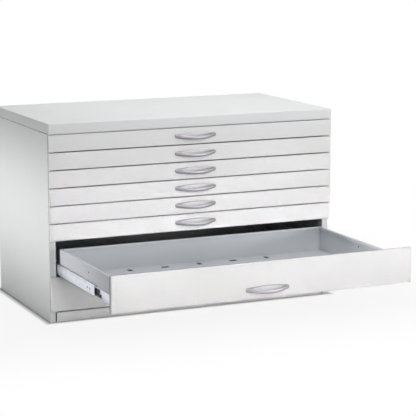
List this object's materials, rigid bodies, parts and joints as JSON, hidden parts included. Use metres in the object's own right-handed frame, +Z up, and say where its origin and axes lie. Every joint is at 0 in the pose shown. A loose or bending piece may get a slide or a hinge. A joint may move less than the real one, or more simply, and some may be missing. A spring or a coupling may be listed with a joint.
{
  "type": "plan chest",
  "caption": "Low wide steel plan chest with shallow and deep drawers on full-extension ball slides, one deep drawer pulled out.",
  "frame": {"origin": "on the floor, at the middle of the plinth strip's foot lip: X at the middle of the chest's width, Y 24.5 mm behind the closed drawer fronts' faces", "axes": "+X to the right seen from the front, +Y from the drawer fronts to the back, +Z up"},
  "size_m": [1.19, 1.306, 0.76],
  "materials": {
    "case_paint": "light grey powder coat, fine texture, semi-matt",
    "front_paint": "light grey powder coat, fine texture, semi-matt",
    "tray_paint": "light grey powder coat, slightly cooler than the case",
    "handle_metal": "satin silver",
    "slide_zinc": "bright zinc plate, rolled",
    "screw_zinc": "zinc plate",
    "black_plastic": "black moulded plastic"
  },
  "bodies": {
    "case": {"side_panel_left": "case_paint", "side_panel_right": "case_paint", "top_panel": "case_paint", "back_panel": "case_paint", "base_panel": "case_paint", "plinth_strip": "case_paint", "top_rails": "case_paint", "slide_uprights": "case_paint", "case_slide_rails": "slide_zinc", "slide_end_stops": "black_plastic", "slide_rivets": "screw_zinc", "back_panel_screws": "screw_zinc"},
    "drawer_1": {"drawer_1_tray": "tray_paint", "drawer_1_front": "front_paint", "drawer_1_handle": "handle_metal", "drawer_1_slide_rails": "slide_zinc", "drawer_1_release_levers": "black_plastic"},
    "drawer_1_middle": {"drawer_1_middle_rails": "slide_zinc"},
    "drawer_2": {"drawer_2_tray": "tray_paint", "drawer_2_front": "front_paint", "drawer_2_handle": "handle_metal", "drawer_2_slide_rails": "slide_zinc", "drawer_2_release_levers": "black_plastic"},
    "drawer_2_middle": {"drawer_2_middle_rails": "slide_zinc"},
    "drawer_3": {"drawer_3_tray": "tray_paint", "drawer_3_front": "front_paint", "drawer_3_handle": "handle_metal", "drawer_3_slide_rails": "slide_zinc", "drawer_3_release_levers": "black_plastic"},
    "drawer_3_middle": {"drawer_3_middle_rails": "slide_zinc"},
    "drawer_4": {"drawer_4_tray": "tray_paint", "drawer_4_front": "front_paint", "drawer_4_handle": "handle_metal", "drawer_4_slide_rails": "slide_zinc", "drawer_4_release_levers": "black_plastic"},
    "drawer_4_middle": {"drawer_4_middle_rails": "slide_zinc"},
    "drawer_5": {"drawer_5_tray": "tray_paint", "drawer_5_front": "front_paint", "drawer_5_handle": "handle_metal", "drawer_5_slide_rails": "slide_zinc", "drawer_5_release_levers": "black_plastic"},
    "drawer_5_middle": {"drawer_5_middle_rails": "slide_zinc"},
    "drawer_6": {"drawer_6_tray": "tray_paint", "drawer_6_front": "front_paint", "drawer_6_handle": "handle_metal", "drawer_6_slide_rails": "slide_zinc", "drawer_6_release_levers": "black_plastic"},
    "drawer_6_middle": {"drawer_6_middle_rails": "slide_zinc"},
    "drawer_7": {"drawer_7_tray": "tray_paint", "drawer_7_front": "front_paint", "drawer_7_handle": "handle_metal", "drawer_7_slide_rails": "slide_zinc", "drawer_7_release_levers": "black_plastic"},
    "drawer_7_middle": {"drawer_7_middle_rails": "slide_zinc"},
    "drawer_8": {"drawer_8_tray": "tray_paint", "drawer_8_front": "front_paint", "drawer_8_handle": "handle_metal", "drawer_8_slide_rails": "slide_zinc", "drawer_8_release_levers": "black_plastic"},
    "drawer_8_middle": {"drawer_8_middle_rails": "slide_zinc"}
  },
  "joints": [
    {"name": "drawer_1_slide", "type": "slide", "parent": "case", "child": "drawer_1", "axis": [0, -1, 0], "range_m": [0, 0.63]},
    {"name": "drawer_1_middle_slide", "type": "slide", "parent": "case", "child": "drawer_1_middle", "axis": [0, -1, 0], "range_m": [0, 0.4095]},
    {"name": "drawer_2_slide", "type": "slide", "parent": "case", "child": "drawer_2", "axis": [0, -1, 0], "range_m": [0, 0.63]},
    {"name": "drawer_2_middle_slide", "type": "slide", "parent": "case", "child": "drawer_2_middle", "axis": [0, -1, 0], "range_m": [0, 0.4095]},
    {"name": "drawer_3_slide", "type": "slide", "parent": "case", "child": "drawer_3", "axis": [0, -1, 0], "range_m": [0, 0.63]},
    {"name": "drawer_3_middle_slide", "type": "slide", "parent": "case", "child": "drawer_3_middle", "axis": [0, -1, 0], "range_m": [0, 0.4095]},
    {"name": "drawer_4_slide", "type": "slide", "parent": "case", "child": "drawer_4", "axis": [0, -1, 0], "range_m": [0, 0.63]},
    {"name": "drawer_4_middle_slide", "type": "slide", "parent": "case", "child": "drawer_4_middle", "axis": [0, -1, 0], "range_m": [0, 0.4095]},
    {"name": "drawer_5_slide", "type": "slide", "parent": "case", "child": "drawer_5", "axis": [0, -1, 0], "range_m": [0, 0.63]},
    {"name": "drawer_5_middle_slide", "type": "slide", "parent": "case", "child": "drawer_5_middle", "axis": [0, -1, 0], "range_m": [0, 0.4095]},
    {"name": "drawer_6_slide", "type": "slide", "parent": "case", "child": "drawer_6", "axis": [0, -1, 0], "range_m": [0, 0.63]},
    {"name": "drawer_6_middle_slide", "type": "slide", "parent": "case", "child": "drawer_6_middle", "axis": [0, -1, 0], "range_m": [0, 0.4095]},
    {"name": "drawer_7_slide", "type": "slide", "parent": "case", "child": "drawer_7", "axis": [0, -1, 0], "range_m": [-0.63, 0]},
    {"name": "drawer_7_middle_slide", "type": "slide", "parent": "case", "child": "drawer_7_middle", "axis": [0, -1, 0], "range_m": [-0.4095, 0]},
    {"name": "drawer_8_slide", "type": "slide", "parent": "case", "child": "drawer_8", "axis": [0, -1, 0], "range_m": [0, 0.63]},
    {"name": "drawer_8_middle_slide", "type": "slide", "parent": "case", "child": "drawer_8_middle", "axis": [0, -1, 0], "range_m": [0, 0.4095]}
  ],
  "couplings": [
    {"joint": "drawer_1_middle_slide", "follows": "drawer_1_slide", "ratio": 0.65},
    {"joint": "drawer_2_middle_slide", "follows": "drawer_2_slide", "ratio": 0.65},
    {"joint": "drawer_3_middle_slide", "follows": "drawer_3_slide", "ratio": 0.65},
    {"joint": "drawer_4_middle_slide", "follows": "drawer_4_slide", "ratio": 0.65},
    {"joint": "drawer_5_middle_slide", "follows": "drawer_5_slide", "ratio": 0.65},
    {"joint": "drawer_6_middle_slide", "follows": "drawer_6_slide", "ratio": 0.65},
    {"joint": "drawer_7_middle_slide", "follows": "drawer_7_slide", "ratio": 0.65},
    {"joint": "drawer_8_middle_slide", "follows": "drawer_8_slide", "ratio": 0.65}
  ]
}
